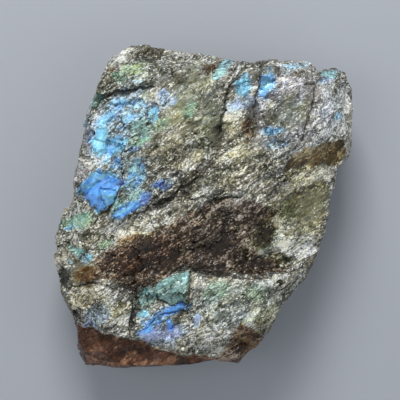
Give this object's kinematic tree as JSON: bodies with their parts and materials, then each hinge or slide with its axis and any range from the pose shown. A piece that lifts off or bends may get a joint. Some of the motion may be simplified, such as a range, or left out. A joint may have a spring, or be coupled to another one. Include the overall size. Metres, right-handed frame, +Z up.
{
  "type": "rough labradorite chunk",
  "caption": "Rough hand-sized chunk of labradorite, grey and brown, with blue and teal flashes, cracks and cleaved faces, lying on its flat back.",
  "frame": {"origin": "centre of the bounding box's footprint, on the flat back cleavage that the stone lies on", "axes": "+Z up out of the flashing face, +Y towards the crown with the knob, +X towards the right shoulder"},
  "size_m": [0.0992, 0.1078, 0.042],
  "materials": {
    "labradorite": "rough cleaved feldspar: grey-olive and smoky brown, white grains, glassy cleavage glints, blue, teal and violet flashes"
  },
  "bodies": {
    "root": {"labradorite_chunk": "labradorite"}
  },
  "joints": []
}
